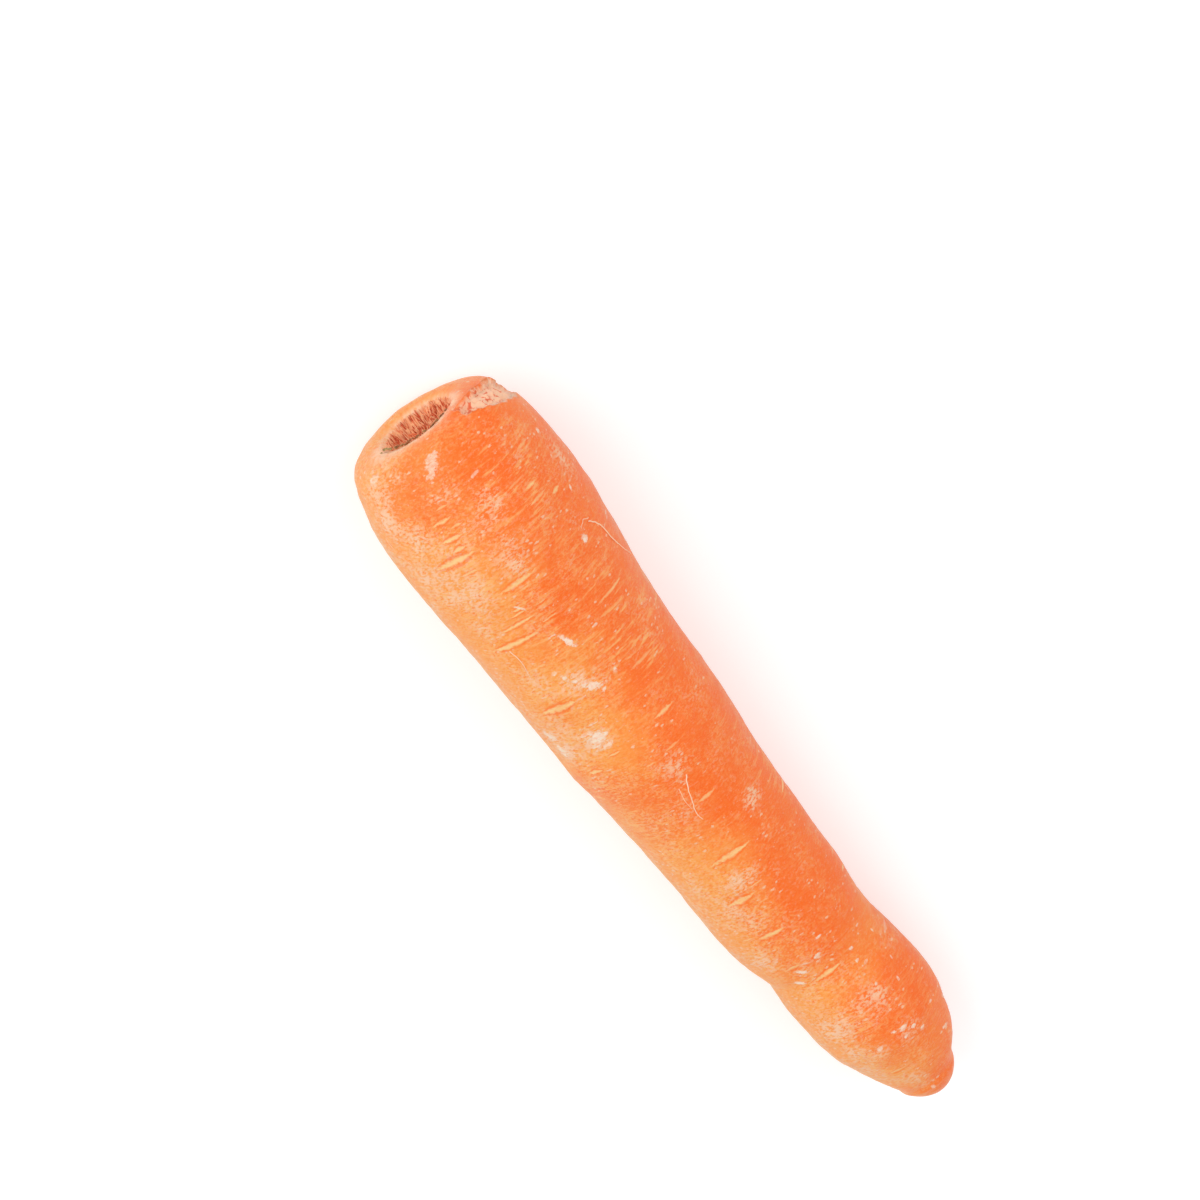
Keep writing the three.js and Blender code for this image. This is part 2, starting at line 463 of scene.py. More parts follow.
class CarrotShape(bpy.types.PropertyGroup):
    """The root's sizes."""

    root_length: length_prop("Root length", "From the crown's face to the tip", 0.191)
    shoulder_radius: length_prop("Shoulder radius", "Radius of the widest section", 0.0207)
    crater_radius: length_prop("Crater radius", "Radius of the hollow that the leaf stalks leave", 0.0075)
    crater_depth: length_prop("Crater depth", "Depth of the hollow below the crown's face", 0.0038)
    collar_rise: length_prop("Collar rise", "How far the crown stands out round the crater", 0.0008)
    nub_radius: length_prop("Nub radius", "Radius of the rounded end of the root", 0.0072)
    nub_length: length_prop("Nub length", "Length of the rounded end of the root", 0.0063)
    flat_depth: length_prop("Flat depth", "What the underside loses where it is pressed flat", 0.00055)
    tear_depth: length_prop("Tear depth", "Depth of the place where the crown's skin is torn off", 0.0012)
    rings: bpy.props.IntProperty(
        name="Rings", description="Rings of the skin's mesh between its two poles", default=438, min=60
    )
    segments: bpy.props.IntProperty(name="Segments", description="Points in each ring", default=220, min=24)


class CarrotFinish(bpy.types.PropertyGroup):
    """The colours of the skin, the scars and the dry pieces."""

    # Splitting these two oranges by side is partly painted light: the yellower side is the -Y side, towards
    # the key lamp.
    deep_orange: colour_prop("Deep orange", "Skin on the redder side", (0.95, 0.138, 0.0))
    light_orange: colour_prop("Light orange", "Skin on the yellower side", (0.95, 0.325, 0.05))
    grain_orange: colour_prop("Grain orange", "Pale grains and streaks in the skin", (0.96, 0.48, 0.16))
    dry_skin: colour_prop("Dry skin", "Film and flecks of dried, lifted skin", (0.95, 0.57, 0.36))
    spindle: colour_prop("Breathing scar", "Pale spindles across the root", (0.95, 0.62, 0.27))
    scuff: colour_prop("Scuff", "Small rubbed ovals", (0.95, 0.74, 0.58))
    torn: colour_prop("Torn flesh", "Pale flesh where the skin is torn off", (1.0, 0.61, 0.4))
    torn_pit: colour_prop("Torn pits", "Pits in the torn flesh", (0.8, 0.16, 0.07))
    torn_edge: colour_prop("Torn edge", "Dried edge of the torn flesh", (0.95, 0.72, 0.56))
    rim: colour_prop("Crater rim", "Dry straw-coloured rim of the crater", (1.0, 0.6, 0.38))
    pith_dark: colour_prop("Dark pith", "Redder streaks of the crater's floor", (0.8, 0.17, 0.06))
    pith_light: colour_prop("Light pith", "Paler streaks of the crater's floor", (1.0, 0.5, 0.25))
    fibre_dark: colour_prop("Dark fibre", "The redder kind of stalk fibre", (0.62, 0.1, 0.03))
    fibre_light: colour_prop("Light fibre", "The paler kind of stalk fibre", (1.0, 0.52, 0.28))
    crumb_dark: colour_prop("Dark crumb", "Crumbs on the upper side of the crater's rim", (0.3, 0.1, 0.03))
    crumb_olive: colour_prop("Olive crumb", "Crumbs at the -Y end of their row", (0.5, 0.36, 0.13))
    rootlet_dark: colour_prop("Dark rootlet", "The redder rootlets", (1.0, 0.48, 0.24))
    rootlet_light: colour_prop("Light rootlet", "The paler rootlets", (1.0, 0.68, 0.46))


class CarrotStage(bpy.types.PropertyGroup):
    """Where the camera is and how strong the light is."""

    aim_share: number_prop("Aim along the root", "Where the camera aims, as a share of its length", 0.3209)
    aim_side: length_prop("Aim sideways", "How far towards +Y the camera aims", 0.00754)
    distance: length_prop("Camera distance", "From the camera to the place that it aims at", 1.0)
    tilt: number_prop(
        "Camera tilt",
        "How far the camera leans from straight above towards the crown",
        math.radians(21),
        "ANGLE",
    )
    roll: number_prop(
        "Camera roll",
        "How far the root's own direction is turned down from the view's right",
        math.radians(53.05),
        "ANGLE",
    )
    lens: number_prop("Focal length", "Focal length on a sensor 36 mm wide", 146.01, "DISTANCE_CAMERA")
    key_power: number_prop("Key light", "Power of the large lamp on the crown's side", 4.6, "POWER")
    fill_power: number_prop("Fill light", "Power of the lamp opposite the key light", 2.6, "POWER")
    sky: number_prop("Sky", "Strength of the even light from all round", 0.76)


# ---- Curves and noise ----


def spline(points, count):
    """`count` places on the smooth curve through the points, evenly spaced in its parameter.

    Between two points the curve is the cubic that leaves each with half the difference of its
    neighbours, and an end point is its own neighbour.
    """
    points = np.asarray(points, float)
    last = len(points) - 1
    place = np.linspace(0, last, count)
    start = np.minimum(place.astype(int), last - 1)
    share = (place - start)[:, None]
    before, a, b, after = (points[np.clip(start + step, 0, last)] for step in (-1, 0, 1, 2))
    leave = (b - before) / 2
    arrive = (after - a) / 2
    cubic = (2 * a - 2 * b + leave + arrive) * share**3
    square = (3 * b - 3 * a - 2 * leave - arrive) * share**2
    return cubic + square + leave * share + a


def smoothstep(value, low, high):
    """0 below low, 1 above high, and 3t^2 - 2t^3 of the share t between them."""
    share = np.clip((value - low) / (high - low), 0, 1)
    return share * share * (3 - 2 * share)


def bell(value, middle=0.0, width=1.0):
    """A bell curve: e to the power of minus the square of the distance from its middle, in widths."""
    return np.exp(-(((value - middle) / width) ** 2))


def turned(angle, degrees):
    """Degrees from one direction round the root to another, between -180 and 180."""
    return (np.degrees(angle) - degrees + 180) % 360 - 180


def ripple(points, size, seed, waves=40):
    """Even noise of unit spread: the sum of cosine waves in random directions.

    Each wave is `size` long give or take a third, and has a random phase.
    """
    random = np.random.default_rng(seed)
    direction = random.normal(size=(3, waves))
    direction /= np.linalg.norm(direction, axis=0)
    direction *= 2 * np.pi / (size * random.uniform(0.67, 1.33, waves))
    phase = random.uniform(0, 2 * np.pi, waves)
    return np.cos(points @ direction + phase).sum(-1) * math.sqrt(2 / waves)


# ---- The root's surface ----


def millimetres(shape):
    """The shape's sizes in millimetres, by name."""
    names = (
        "root_length shoulder_radius crater_radius crater_depth collar_rise nub_radius nub_length"
        " flat_depth tear_depth"
    )
    return {name: getattr(shape, name) / MM for name in names.split()}


def outline(size):
    """The points of half the root's outline: (distance from the crown's face, radius).

    The crater and collar are shares of their own sizes, the body is shares of the length and of the
    shoulder's radius, and the end is close to a quarter of an ellipse that closes on the axis: the
    sine and the cosine of the turn, each to the power of the taper.
    """
    crater = [(deep * size["crater_depth"], out * size["crater_radius"]) for deep, out in CRATER_OUTLINE]
    collar = [(up * size["collar_rise"], size["crater_radius"] + out) for up, out in COLLAR_OUTLINE]
    body = [(at * size["root_length"], out * size["shoulder_radius"]) for at, out in BODY_OUTLINE]
    turn = np.linspace(0, np.pi / 2, NUB_POINTS)
    sine, cosine = np.abs(np.sin(turn)) ** NUB_TAPER, np.abs(np.cos(turn)) ** NUB_TAPER
    end_at = size["root_length"] - size["nub_length"] * (1 - sine)
    end = np.stack([end_at, size["nub_radius"] * cosine], -1)
    return np.concatenate([crater, collar, body, end])


class Root:
    """The root's surface as a function of the way along its outline and the angle round it.

    The outline is a dense row of points, each with its way from the crater's middle and the direction
    square to its slope. The centreline gives each place's sideways shift and height.
    """

    DENSE = 12000  # places on the outline that the surface is read from
    CROWN_WAY = 30  # millimetres of outline that have finer rings
    CROWN_FINENESS = 1.7
    AWAY = 9.0  # a tear scale that is surely outside the torn strip

    def __init__(self, shape):
        self.size = millimetres(shape)
        self.at, self.radius = spline(outline(self.size), self.DENSE).T
        self.radius = np.maximum(self.radius, 0)
        steps = np.hypot(np.diff(self.at), np.diff(self.radius))
        self.way = np.concatenate([[0], np.cumsum(steps)])
        slope_at = np.gradient(self.at, self.way)
        slope_radius = np.gradient(self.radius, self.way)
        self.out_at, self.out_radius = -slope_radius, slope_at
        line = spline(CENTRELINE, 800)
        self.sideways = lambda at: np.interp(at, line[:, 0], line[:, 1])
        self.height = lambda at: np.interp(at, line[:, 0], line[:, 2])
        self.middle = np.zeros(3)
        way, angle = np.meshgrid(np.linspace(0, self.way[-1], 900), np.linspace(0, 2 * np.pi, 181))
        plain = self.points(way, angle)
        self.middle = (plain.min((0, 1)) + plain.max((0, 1))) / 2 * (1, 1, 0)

    def ring_ways(self, rings):
        """Ways along the outline for that many rings, closer together on the crown."""
        plain = smoothstep(self.way, self.CROWN_WAY, 2 * self.CROWN_WAY)
        fineness = 1 + (self.CROWN_FINENESS - 1) * (1 - plain)
        count = np.cumsum(fineness)
        wanted = np.linspace(count[0], count[-1], rings + 2)[1:-1]
        return np.interp(wanted, count, self.way)

    def way_at(self, at):
        """The way along the outline of a place on the body, given as distance from the crown's face."""
        body = self.way > self.way[np.argmin(self.at[: self.DENSE // 3])]
        return np.interp(at, self.at[body], self.way[body])

    def crown_at(self, radius):
        """How far behind the crown's face its surface is, from the crater's middle out to the collar."""
        crown = slice(0, np.argmin(self.at[: self.DENSE // 3]) + 1)
        return np.interp(radius, self.radius[crown], self.at[crown])

    def along(self, way, column):
        """The value of one of the outline's columns at a way along it."""
        return np.interp(way, self.way, column)

    def tear_scale(self, at, angle, radius, grown=1.0):
        """0 in the middle of the torn strip and 1 on its edge: across it and round it, as a circle's
        radius, with a middle that slants over the shoulder. The strip may be grown by a factor."""
        round_it = turned(angle, TEAR_AROUND)
        across = (at + radius - TEAR_FROM - TEAR_SLANT * round_it) / TEAR_HALF_WIDTH
        scale = np.hypot(across, round_it / TEAR_HALF_ANGLE) / grown
        return np.where(at < self.size["root_length"] / 2, scale, self.AWAY)

    def unevenness(self, at, angle, radius):
        """How far the surface stands out from the turned form: waves round the section that grow with
        the radius, and mounds that fall off as bell curves."""
        waves = np.zeros(np.broadcast(at, angle).shape)
        for count, high, long, phase in SECTION_WAVES:
            waves += high * np.sin(count * angle) * np.cos(2 * np.pi * at / long + phase)
        height = waves * np.minimum(radius / self.size["shoulder_radius"], 1)
        fade = np.minimum(radius / MOUND_FADE_RADIUS, 1)
        for centre, around, reach, spread, high in MOUNDS:
            bell = np.exp(-(((at - centre) / reach) ** 2) - (turned(angle, around) / spread) ** 2)
            height += high * bell * fade
        in_crater = (radius < self.size["crater_radius"]) & (at < self.size["root_length"] / 2)
        return np.where(in_crater, 0, height)

    def over_crown(self, x, radius, angle, side=0.0):
        """Places over the crown's face, at a radius and an angle and moved sideways."""
        y = self.sideways(0) + radius * np.cos(angle) - side * np.sin(angle)
        middle = self.height(0) - self.size["flat_depth"]
        z = middle + radius * np.sin(angle) + side * np.cos(angle)
        return np.stack([x, y, z], -1) - self.middle

    def points(self, way, angle, extra=0.0):
        """Places in millimetres in the object's frame.

        The outline's point is moved square to the outline by the unevenness and by `extra`, turned
        round the centreline by the angle, lowered by the flat's depth and kept above the floor.
        """
        at = self.along(way, self.at)
        radius = self.along(way, self.radius)
        out = self.unevenness(at, angle, radius) + extra
        along = at + out * self.along(way, self.out_at)
        across = radius + out * self.along(way, self.out_radius)
        y = self.sideways(at) + across * np.cos(angle)
        z = self.height(at) + across * np.sin(angle) - self.size["flat_depth"]
        return np.stack([along, y, np.maximum(z, 0)], -1) - self.middle


# ---- Meshes ----


def into_box(points):
    """The points in metres, kept inside the solid's box."""
    return np.clip(points * MM, LOW, HIGH)


def new_piece(name, vertices, faces, material):
    """A smooth mesh object at the origin that rides on the root."""
    mesh = bpy.data.meshes.new(name)
    mesh.from_pydata(vertices.tolist(), [], faces)
    mesh.polygons.foreach_set("use_smooth", np.ones(len(mesh.polygons), bool))
    mesh.materials.append(material)
    mesh.update()
    mesh.validate()
    piece = bpy.data.objects.new(name, mesh)
    bpy.context.scene.collection.objects.link(piece)
    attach(piece, BODY)
    return piece


def give_attribute(piece, name, values):
    """Stores one number or one vector for each vertex."""
    kind, key = ("FLOAT_VECTOR", "vector") if values.ndim > 1 else ("FLOAT", "value")
    made = piece.data.attributes.new(name, kind, "POINT")
    made.data.foreach_set(key, np.ascontiguousarray(values, np.float32).ravel())


def closed_grid_faces(rows, columns, first=0):
    """Faces of a closed tube of rows of points with one point at each end.

    The points are numbered end, rows, end. Faces point outwards where each row turns to the right
    as seen from the far end.
    """
    number = first + 1 + np.arange(rows * columns).reshape(rows, columns)
    beside = np.roll(number, -1, 1)
    quads = np.stack([number[:-1], beside[:-1], beside[1:], number[1:]], -1).reshape(-1, 4)
    last = first + 1 + rows * columns
    near = np.stack([np.full(columns, first), beside[0], number[0]], -1)
    far = np.stack([np.full(columns, last), number[-1], beside[-1]], -1)
    return quads.tolist() + near.tolist() + far.tolist()


def tubes(paths, sideways, upward, width, thickness, sides):
    """Closed flattened tubes along many paths at once, and their faces.

    paths, sideways and upward are (tube, station, 3), width and thickness are half sizes for each
    station. Each section is an ellipse: sideways times the cosine plus upward times the sine. The
    first and the last station close to a point.
    """
    count, stations = paths.shape[:2]
    turn = 2 * np.pi * np.arange(sides) / sides
    ring = sideways[:, 1:-1, None] * (width[:, 1:-1, None] * np.cos(turn))[..., None]
    ring = ring + upward[:, 1:-1, None] * (thickness[:, 1:-1, None] * np.sin(turn))[..., None]
    middle = (paths[:, 1:-1, None] + ring).reshape(count, -1, 3)
    points = np.concatenate([paths[:, :1], middle, paths[:, -1:]], 1)
    faces = []
    for tube in range(count):
        faces += closed_grid_faces(stations - 2, sides, tube * points.shape[1])
    return points.reshape(-1, 3), faces


# ---- The skin ----


def mark_places(root, way, angle, radius, marks):
    """For each layer, every vertex's place on the mark that is near it.

    The place is (share of the half length from the mark's middle, share of the half width, paleness).
    It is (3, 3, 0) away from marks. Marks that would touch go to different layers.
    """
    places = [np.tile((3.0, 3.0, 0.0), (len(way), 1)) for _ in LAYERS]
    taken = np.zeros((len(LAYERS), len(way)), bool)
    for at, around, length, width, turn, paleness in marks:
        out = np.radians(turned(angle, around)) * radius
        along = way - root.way_at(at)
        cos, sin = math.cos(math.radians(turn)), math.sin(math.radians(turn))
        long = (out * cos + along * sin) / (length / 2)
        across = (along * cos - out * sin) / (width / 2)
        held, near = (
            (np.abs(long) < 1.2 + 2 * margin / length) & (np.abs(across) < 1.5 + 2 * margin / width)
            for margin in (HELD_ROUND, DRAWN_ROUND)
        )
        free = [layer for layer in range(len(LAYERS)) if not (taken[layer] & held).any()]
        if not free:
            continue
        layer = free[0]
        taken[layer] |= held
        places[layer][held] = np.stack([long, across, paleness * near], -1)[held]
    return places


def scattered_marks(seed, count, lengths, widths):
    """Random marks for the sides and the underside: (distance, degrees round, length, width, turn,
    paleness), mostly away from the top, where marks are placed one by one."""
    random = np.random.default_rng(seed)
    at = random.uniform(6, 182, count)
    around = (random.uniform(165, 385, count)) % 360
    long = random.uniform(*lengths, count)
    wide = random.uniform(*widths, count)
    turn = random.normal(0, 7, count)
    paleness = random.uniform(0.4, 1, count)
    return np.stack([at, around, long, wide, turn, paleness], -1).tolist()


def spindle_dent(place):
    """Depth of a breathing scar: a shallow groove with low lips, deepest in the middle, that follows
    the spindle's outline, 1 - long^2 to the power of the taper."""
    long, across, paleness = place.T
    taper = np.clip(1 - long**2, 0, 1) ** SPINDLE_TAPER
    reach = np.abs(across) / np.maximum(taper, 0.05)
    groove = bell(reach, 0, 0.8) * taper
    lip = bell(reach, 1.3, 0.4) * taper
    return paleness * (0.5 * lip - groove)


def patch_strength(root, way, angle, radius, patches):
    """The strongest of many patches, each a bell-shaped hill of strength on the skin."""
    strongest = np.zeros(len(way))
    for at, around, long, wide, strength in patches:
        out = np.radians(turned(angle, around)) * radius / wide
        along = (way - root.way_at(at)) / long
        strongest = np.maximum(strongest, strength * np.exp(-(out**2) - along**2))
    return strongest


def scattered_patches(seed, count):
    """Random patches for the sides and the underside, away from the ones placed one by one."""
    random = np.random.default_rng(seed)
    at = random.uniform(8, 180, count)
    around = random.uniform(170, 380, count)
    long = random.uniform(1.6, 5, count)
    wide = random.uniform(2, 6, count)
    strength = random.uniform(0.2, 0.7, count)
    return np.stack([at, around, long, wide, strength], -1).tolist()


def spoke_places(angle, radius, rim):
    """Places on a drum as wide as the crater: a pattern on them runs out over the crown as spokes,
    because they hardly move with the radius."""
    return np.stack([np.cos(angle) * rim, np.sin(angle) * rim, radius * SPOKE_SLOPE], -1)


def crater_relief(angle, radius, rim):
    """The crater's floor: dry pith, and ridges on it that are nil in the middle and at the rim, broad
    ones as a cosine of the angle and fine random ones."""
    share = np.clip(radius / rim, 0, 1)
    height, size, seed = PITH_FINE
    fine = height * ripple(spoke_places(angle, radius, rim), size, seed)
    ridges = PITH_RIDGE_HEIGHT * np.cos(PITH_RIDGES * angle) + fine
    return np.sin(np.pi * share) * ridges + PITH_RISE * smoothstep(share, 1.0, 0.75)


def crease_relief(root, way, angle):
    """Partial grooves across the root, bell-shaped in section and fading towards both ends."""
    relief = np.zeros(len(way))
    for at, around, half, width, depth in CREASES:
        round_it = turned(angle, around)
        bend = 0.9 * np.sin(np.radians(round_it) * 2.3 + at)
        across = (way - root.way_at(at) - bend) / width
        fade = np.exp(-((round_it / half) ** 4))
        relief -= depth * fade * (bell(across, 0, 0.5) - 0.5 * bell(across))
    return relief


def ripples(points, rows):
    """The sum of ripples, each given as (height, length of the waves, seed)."""
    return sum(height * ripple(points, size, seed) for height, size, seed in rows)


def open_relief(root, way, angle, points, dryness, spindles):
    """How far the whole skin stands out: ripples, creases and the grooves of the breathing scars."""
    relief = ripples(points, SKIN_RIPPLES)
    relief = relief + ripples(points * (1, ROUND_STRETCH, ROUND_STRETCH), [ROUND_RIPPLE])
    relief += ripples(points, [DRY_RIPPLE]) * smoothstep(dryness, 0.2, 0.7)
    relief += crease_relief(root, way, angle)
    return relief + SPINDLE_RELIEF * sum(spindle_dent(layer) for layer in spindles)


def torn_curl(scale, behind):
    """The low curl of skin along the torn edge, a bell curve just outside it, on the crown's side."""
    return CURL_HEIGHT * bell(scale, CURL_PLACE, CURL_WIDTH) * (1 - behind)


def rim_mask(root, angle, radius, crown):
    """The crater's dry rim: a bell curve across it, wider on the upper side and on the -Y side."""
    upper = smoothstep(np.sin(angle), -0.3, 0.5)
    left = bell(turned(angle, 165), 0, 28)
    beyond = radius - root.size["crater_radius"]
    reach = (beyond - 0.3 - 1.7 * upper - 0.8 * left) / (0.9 + 0.7 * upper + left)
    return np.where(crown, bell(reach), 0)


def build_skin(shape, finish):
    """The whole skin: the root's surface with its fine relief, and what its material reads.

    The relief is that of the open skin, which fades at the crater, towards the tip and where the skin
    is torn off, plus the torn place's depth and roughness, its curl and the crater's floor.
    """
    root = Root(shape)
    rings, segments = shape.rings, shape.segments
    ring_angle = 2 * np.pi * np.arange(segments) / segments
    way = np.concatenate([[0], np.repeat(root.ring_ways(rings), segments), [root.way[-1]]])
    angle = np.concatenate([[0], np.tile(ring_angle, rings), [0]])
    at = root.along(way, root.at)
    radius = root.along(way, root.radius)
    plain = root.points(way, angle)

    rim = root.size["crater_radius"]
    crown = at < root.size["root_length"] / 2
    crater = np.where(crown, 1 - smoothstep(radius, rim - 0.4, rim + 0.5), 0)
    dryness = patch_strength(root, way, angle, radius, DRY_PATCHES + scattered_patches(5, 34))
    streaked = patch_strength(root, way, angle, radius, STREAKED_PATCHES + scattered_patches(6, 8))
    smooth = patch_strength(root, way, angle, radius, SMOOTH_PATCHES)

    scale = root.tear_scale(at, angle, radius)
    ragged = ripples(plain, [TORN_RAGGED])
    torn = 1 - smoothstep(scale + ragged, *TORN_FADE)
    bare_scale = root.tear_scale(at, angle, radius, BARE_GROWTH) + ragged
    bare = 1 - smoothstep(bare_scale, *TORN_FADE)
    behind = smoothstep(at + radius, TEAR_FROM - 4, TEAR_FROM + 3)
    deeper = 1 + TEAR_FLANK_DEPTH * smoothstep(turned(angle, 6), 0, -14)

    marks = [
        (
            at,
            around,
            SPINDLE_TAILS * length,
            SPINDLE_SOFT_EDGE * width,
            SPINDLE_TURN * math.sin(at),
            paleness,
        )
        for at, around, length, width, paleness in SPINDLES
    ]
    marks += scattered_marks(3, 46, (2.5, 10), (0.5, 1.3))
    spindles = mark_places(root, way, angle, radius, marks)
    ovals = SCUFFS + scattered_marks(4, 40, (0.9, 3), (0.5, 1.3))
    scuffs = mark_places(root, way, angle, radius, ovals)

    relief = open_relief(root, way, angle, plain, dryness, spindles)
    relief *= (1 - crater) * np.minimum(radius / MOUND_FADE_RADIUS, 1)
    relief *= 1 - torn
    relief += torn * (ripples(plain, TORN_RIPPLES) - root.size["tear_depth"] * deeper)
    relief += torn_curl(scale + 0.5 * ragged, behind)
    relief += crater * crater_relief(angle, radius, rim)

    points = into_box(root.points(way, angle, relief))
    faces = closed_grid_faces(rings, segments)
    piece = new_piece("carrot_skin", points, faces, skin_material(finish))
    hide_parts(NODE)

    # Painted light in part: the side term makes the tone highest on the -Y side, which faces the key lamp,
    # so the skin is yellower and paler there and redder on the +Y side; the crown's gain and the drift are
    # the root's own tone.
    side = 0.5 - 0.5 * np.cos(angle - math.radians(12))
    paler_crown = PALER_CROWN * smoothstep(at, 55, 20)
    attributes = {
        "tone": np.clip(side + paler_crown + ripples(plain, [TONE_DRIFT]), 0, 1),
        "dry": dryness,
        "streaked": streaked,
        "smooth": smooth,
        "crater": crater,
        "rim": rim_mask(root, angle, radius, crown),
        "torn": np.maximum(torn, bare),
        "torn_edge": bell(bare_scale, *TORN_RIM) * behind,
        "spoke": spoke_places(angle, radius, rim),
    }
    for layer, spindle, scuff in zip(LAYERS, spindles, scuffs):
        attributes["spindle_" + layer] = spindle
        attributes["scuff_" + layer] = scuff
    for name, values in attributes.items():
        give_attribute(piece, name, values)
    return piece


# ---- Shader nodes ----


def add_node(tree, kind, values=None, **settings):
    """A node with its settings, and its inputs set to values or linked to other nodes' outputs."""
    made = tree.nodes.new(kind)
    for name, value in settings.items():
        setattr(made, name, value)
    for name, value in (values or {}).items():
        if isinstance(value, bpy.types.NodeSocket):
            tree.links.new(value, made.inputs[name])
        else:
            made.inputs[name].default_value = value
    return made


def math_node(tree, operation, *values):
    """The output of a Math node."""
    return add_node(tree, "ShaderNodeMath", dict(enumerate(values)), operation=operation).outputs[0]


def product(tree, first, *others):
    """The product of two or more values."""
    for other in others:
        first = math_node(tree, "MULTIPLY", first, other)
    return first


def highest(tree, first, *others):
    """The highest of two or more values."""
    for other in others:
        first = math_node(tree, "MAXIMUM", first, other)
    return first


def ramp(tree, value, low, high, start=0.0, end=1.0):
    """The value mapped smoothly from low..high to start..end."""
    values = {"Value": value, "From Min": low, "From Max": high, "To Min": start, "To Max": end}
    made = add_node(tree, "ShaderNodeMapRange", values, interpolation_type="SMOOTHSTEP")
    return made.outputs["Result"]


def mix_colour(tree, share, a, b):
    """Colour a where the share is 0 and colour b where it is 1."""
    made = add_node(tree, "ShaderNodeMix", {0: share, 6: a, 7: b}, data_type="RGBA")
    return made.outputs[2]


def noise(tree, vector, size, detail=2.0, roughness=0.5, distortion=0.0):
    """Noise whose features are about `size` millimetres wide."""
    values = {
        "Vector": vector,
        "Scale": 1 / (size * MM),
        "Detail": detail,
        "Roughness": roughness,
        "Distortion": distortion,
    }
    return add_node(tree, "ShaderNodeTexNoise", values).outputs["Fac"]


def attribute(tree, name, output="Fac"):
    """One of a piece's own attributes."""
    return add_node(tree, "ShaderNodeAttribute", attribute_name=name).outputs[output]


def new_group(name, vector, numbers, results):
    """An empty node group with named sockets: one vector and some numbers go in, numbers come out."""
    group = bpy.data.node_groups.new(name, "ShaderNodeTree")
    group.interface.new_socket(vector, in_out="INPUT", socket_type="NodeSocketVector")
    for label in numbers:
        group.interface.new_socket(label, in_out="INPUT", socket_type="NodeSocketFloat")
    for label in results:
        group.interface.new_socket(label, in_out="OUTPUT", socket_type="NodeSocketFloat")
    return group, group.nodes.new("NodeGroupInput").outputs, group.nodes.new("NodeGroupOutput").inputs


def spindle_group():
    """Node group: a spindle-shaped mark from a place on it, with a wavy edge: the mask of the mark and
    of the line round it.

    The spindle's half width at a place along it is 1 - long^2 to the power of the taper.
    """
    made = new_group("Spindle mark", "Place", ["Wobble", "Softness"], ["Mask", "Outline"])
    group, given, result = made
    split = add_node(group, "ShaderNodeSeparateXYZ", {0: given["Place"]}).outputs
    wave = math_node(group, "SUBTRACT", given["Wobble"], 0.5)
    long = math_node(group, "MULTIPLY_ADD", wave, 0.6, split["X"])
    across = math_node(group, "MULTIPLY_ADD", wave, 1.6, split["Y"])
    square = product(group, long, long)
    left = highest(group, math_node(group, "SUBTRACT", 1.0, square), 0.001)
    taper = math_node(group, "POWER", left, SPINDLE_TAPER)
    reach = math_node(group, "DIVIDE", math_node(group, "ABSOLUTE", across), taper)
    inner = math_node(group, "SUBTRACT", 1.1, given["Softness"])
    edge = ramp(group, reach, inner, 1.1, 1.0, 0.0)
    ends = ramp(group, math_node(group, "ABSOLUTE", long), 0.4, 1.0, 1.0, 0.0)
    shape = product(group, edge, ends)
    group.links.new(product(group, shape, split["Z"]), result["Mask"])
    wide = ramp(group, reach, 1.1, 2.0, 1.0, 0.0)
    line = math_node(group, "SUBTRACT", product(group, wide, ends), shape)
    line = highest(group, line, 0.0)
    group.links.new(product(group, line, split["Z"]), result["Outline"])
    return group


def blot_group():
    """Node group: the mask of a ragged oval from a place on it.

    The mask falls from 1 to 0 as the length of the place, plus the noise, nears 1.
    """
    group, given, result = new_group("Blot mark", "Place", ["Noise", "Raggedness"], ["Mask"])
    split = add_node(group, "ShaderNodeSeparateXYZ", {0: given["Place"]}).outputs
    flat = add_node(group, "ShaderNodeCombineXYZ", {"X": split["X"], "Y": split["Y"]}).outputs[0]
    length = add_node(group, "ShaderNodeVectorMath", {0: flat}, operation="LENGTH").outputs["Value"]
    wave = math_node(group, "SUBTRACT", given["Noise"], 0.5)
    reach = math_node(group, "MULTIPLY_ADD", wave, given["Raggedness"], length)
    mask = ramp(group, reach, 0.72, 0.95, 1.0, 0.0)
    group.links.new(product(group, mask, split["Z"]), result["Mask"])
    return group


def fleck_group():
    """Node group: irregular flecks, one in each cell of a pattern, of which only some are filled.

    A fleck is where the distance to its cell's middle plus noise is less than a radius that grows
    with the cell's random number and with Amount.
    """
    group, given, result = new_group("Flecks", "Vector", ["Scale", "Amount"], ["Mask"])
    cells = {"Vector": given["Vector"], "Scale": given["Scale"]}
    cells = add_node(group, "ShaderNodeTexVoronoi", cells).outputs
    chance = add_node(group, "ShaderNodeSeparateColor", {0: cells["Color"]}).outputs[0]
    finer = product(group, given["Scale"], 2.2)
    rough = {"Vector": given["Vector"], "Scale": finer, "Detail": 2.0, "Roughness": 0.6}
    rough = add_node(group, "ShaderNodeTexNoise", rough).outputs["Fac"]
    rough = math_node(group, "SUBTRACT", rough, 0.5)
    reach = math_node(group, "MULTIPLY_ADD", rough, 0.9, cells["Distance"])
    filled = math_node(group, "ADD", chance, given["Amount"])
    radius = ramp(group, filled, 0.88, 1.1, 0.0, 0.33)
    inside = math_node(group, "SUBTRACT", radius, reach)
    group.links.new(ramp(group, inside, -0.03, 0.1), result["Mask"])
    return group


